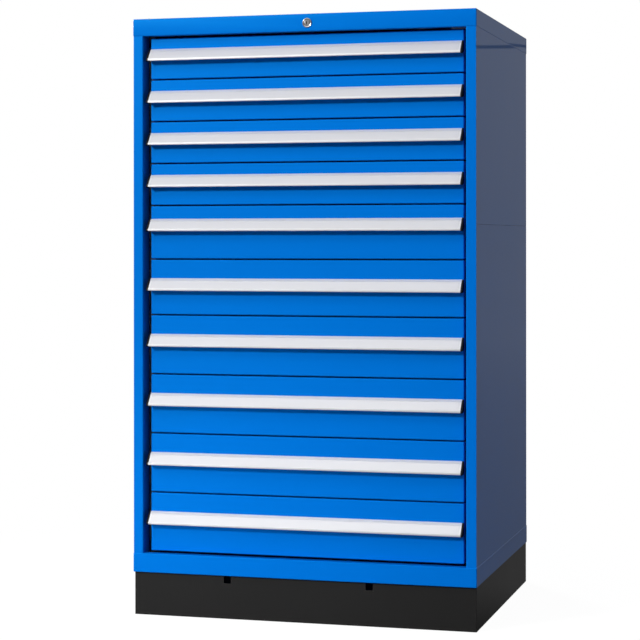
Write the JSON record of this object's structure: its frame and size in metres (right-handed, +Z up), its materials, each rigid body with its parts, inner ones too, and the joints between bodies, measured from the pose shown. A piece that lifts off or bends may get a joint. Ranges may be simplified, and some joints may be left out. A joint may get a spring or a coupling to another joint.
{
  "type": "microscope slide cabinet",
  "caption": "Tall steel cabinet of full width drawers with sloped aluminium label handles, a key lock and a plinth, for storing microscope slides.",
  "frame": {"origin": "middle of the plinth's underside, under the middle of the body's plan", "axes": "+Z up, -Y out of the drawer fronts, +X to the right as seen from the front"},
  "size_m": [0.914, 0.7667, 1.56],
  "materials": {
    "blue_paint": "satin",
    "black_paint": "satin",
    "zinc_steel": "satin",
    "aluminium": "anodised",
    "black_plastic": "matte",
    "chrome": "polished"
  },
  "bodies": {
    "cabinet": {"top_cover": "blue_paint", "bottom_pan": "blue_paint", "left_side_panels": "blue_paint", "right_side_panels": "blue_paint", "back_panel": "blue_paint", "left_post": "blue_paint", "right_post": "blue_paint", "runner_uprights": "zinc_steel", "fixed_runners_left": "zinc_steel", "fixed_runners_right": "zinc_steel", "plinth_frame": "black_paint", "plinth_front_plate": "black_paint", "plinth_bolts": "zinc_steel", "lock_housing": "chrome", "lock_nut": "zinc_steel", "lock_guides": "zinc_steel"},
    "drawer_01_unit": {"drawer_01": "blue_paint", "handle_01": "aluminium", "handle_caps_01": "black_plastic"},
    "middle_01_unit": {"middle_runners_01": "zinc_steel"},
    "drawer_02_unit": {"drawer_02": "blue_paint", "handle_02": "aluminium", "handle_caps_02": "black_plastic"},
    "middle_02_unit": {"middle_runners_02": "zinc_steel"},
    "drawer_03_unit": {"drawer_03": "blue_paint", "handle_03": "aluminium", "handle_caps_03": "black_plastic"},
    "middle_03_unit": {"middle_runners_03": "zinc_steel"},
    "drawer_04_unit": {"drawer_04": "blue_paint", "handle_04": "aluminium", "handle_caps_04": "black_plastic"},
    "middle_04_unit": {"middle_runners_04": "zinc_steel"},
    "drawer_05_unit": {"drawer_05": "blue_paint", "handle_05": "aluminium", "handle_caps_05": "black_plastic"},
    "middle_05_unit": {"middle_runners_05": "zinc_steel"},
    "drawer_06_unit": {"drawer_06": "blue_paint", "handle_06": "aluminium", "handle_caps_06": "black_plastic"},
    "middle_06_unit": {"middle_runners_06": "zinc_steel"},
    "drawer_07_unit": {"drawer_07": "blue_paint", "handle_07": "aluminium", "handle_caps_07": "black_plastic"},
    "middle_07_unit": {"middle_runners_07": "zinc_steel"},
    "drawer_08_unit": {"drawer_08": "blue_paint", "handle_08": "aluminium", "handle_caps_08": "black_plastic"},
    "middle_08_unit": {"middle_runners_08": "zinc_steel"},
    "drawer_09_unit": {"drawer_09": "blue_paint", "handle_09": "aluminium", "handle_caps_09": "black_plastic"},
    "middle_09_unit": {"middle_runners_09": "zinc_steel"},
    "drawer_10_unit": {"drawer_10": "blue_paint", "handle_10": "aluminium", "handle_caps_10": "black_plastic"},
    "middle_10_unit": {"middle_runners_10": "zinc_steel"},
    "lock_core": {"lock_plug": "chrome", "lock_cam": "zinc_steel"},
    "lock_transfer": {"transfer_bar": "zinc_steel"},
    "lock_lift": {"lock_bar": "zinc_steel"}
  },
  "joints": [
    {"name": "drawer_01_slide", "type": "slide", "parent": "cabinet", "child": "drawer_01_unit", "axis": [0, -1, 0], "range_m": [0, 0.6]},
    {"name": "middle_01_slide", "type": "slide", "parent": "cabinet", "child": "middle_01_unit", "axis": [0, -1, 0], "range_m": [0, 0.3]},
    {"name": "drawer_02_slide", "type": "slide", "parent": "cabinet", "child": "drawer_02_unit", "axis": [0, -1, 0], "range_m": [0, 0.6]},
    {"name": "middle_02_slide", "type": "slide", "parent": "cabinet", "child": "middle_02_unit", "axis": [0, -1, 0], "range_m": [0, 0.3]},
    {"name": "drawer_03_slide", "type": "slide", "parent": "cabinet", "child": "drawer_03_unit", "axis": [0, -1, 0], "range_m": [0, 0.6]},
    {"name": "middle_03_slide", "type": "slide", "parent": "cabinet", "child": "middle_03_unit", "axis": [0, -1, 0], "range_m": [0, 0.3]},
    {"name": "drawer_04_slide", "type": "slide", "parent": "cabinet", "child": "drawer_04_unit", "axis": [0, -1, 0], "range_m": [0, 0.6]},
    {"name": "middle_04_slide", "type": "slide", "parent": "cabinet", "child": "middle_04_unit", "axis": [0, -1, 0], "range_m": [0, 0.3]},
    {"name": "drawer_05_slide", "type": "slide", "parent": "cabinet", "child": "drawer_05_unit", "axis": [0, -1, 0], "range_m": [0, 0.6]},
    {"name": "middle_05_slide", "type": "slide", "parent": "cabinet", "child": "middle_05_unit", "axis": [0, -1, 0], "range_m": [0, 0.3]},
    {"name": "drawer_06_slide", "type": "slide", "parent": "cabinet", "child": "drawer_06_unit", "axis": [0, -1, 0], "range_m": [0, 0.6]},
    {"name": "middle_06_slide", "type": "slide", "parent": "cabinet", "child": "middle_06_unit", "axis": [0, -1, 0], "range_m": [0, 0.3]},
    {"name": "drawer_07_slide", "type": "slide", "parent": "cabinet", "child": "drawer_07_unit", "axis": [0, -1, 0], "range_m": [0, 0.6]},
    {"name": "middle_07_slide", "type": "slide", "parent": "cabinet", "child": "middle_07_unit", "axis": [0, -1, 0], "range_m": [0, 0.3]},
    {"name": "drawer_08_slide", "type": "slide", "parent": "cabinet", "child": "drawer_08_unit", "axis": [0, -1, 0], "range_m": [0, 0.6]},
    {"name": "middle_08_slide", "type": "slide", "parent": "cabinet", "child": "middle_08_unit", "axis": [0, -1, 0], "range_m": [0, 0.3]},
    {"name": "drawer_09_slide", "type": "slide", "parent": "cabinet", "child": "drawer_09_unit", "axis": [0, -1, 0], "range_m": [0, 0.6]},
    {"name": "middle_09_slide", "type": "slide", "parent": "cabinet", "child": "middle_09_unit", "axis": [0, -1, 0], "range_m": [0, 0.3]},
    {"name": "drawer_10_slide", "type": "slide", "parent": "cabinet", "child": "drawer_10_unit", "axis": [0, -1, 0], "range_m": [0, 0.6]},
    {"name": "middle_10_slide", "type": "slide", "parent": "cabinet", "child": "middle_10_unit", "axis": [0, -1, 0], "range_m": [0, 0.3]},
    {"name": "lock_turn", "type": "hinge", "parent": "cabinet", "child": "lock_core", "pos_m": [0.0175, -0.381, 1.5365], "axis": [0, 1, 0], "range_deg": [0, 90]},
    {"name": "transfer_slide", "type": "slide", "parent": "cabinet", "child": "lock_transfer", "axis": [-1, 0, 0], "range_m": [0, 0.01698]},
    {"name": "lock_bar_lift", "type": "slide", "parent": "cabinet", "child": "lock_lift", "axis": [0, 0, 1], "range_m": [0, 0.01]}
  ],
  "couplings": [
    {"joint": "middle_01_slide", "follows": "drawer_01_slide", "ratio": 0.5},
    {"joint": "middle_02_slide", "follows": "drawer_02_slide", "ratio": 0.5},
    {"joint": "middle_03_slide", "follows": "drawer_03_slide", "ratio": 0.5},
    {"joint": "middle_04_slide", "follows": "drawer_04_slide", "ratio": 0.5},
    {"joint": "middle_05_slide", "follows": "drawer_05_slide", "ratio": 0.5},
    {"joint": "middle_06_slide", "follows": "drawer_06_slide", "ratio": 0.5},
    {"joint": "middle_07_slide", "follows": "drawer_07_slide", "ratio": 0.5},
    {"joint": "middle_08_slide", "follows": "drawer_08_slide", "ratio": 0.5},
    {"joint": "middle_09_slide", "follows": "drawer_09_slide", "ratio": 0.5},
    {"joint": "middle_10_slide", "follows": "drawer_10_slide", "ratio": 0.5},
    {"joint": "transfer_slide", "follows": "lock_bar_lift", "ratio": 1.697},
    {"joint": "lock_turn", "follows": "lock_bar_lift", "rad_per_m": 157.07}
  ]
}
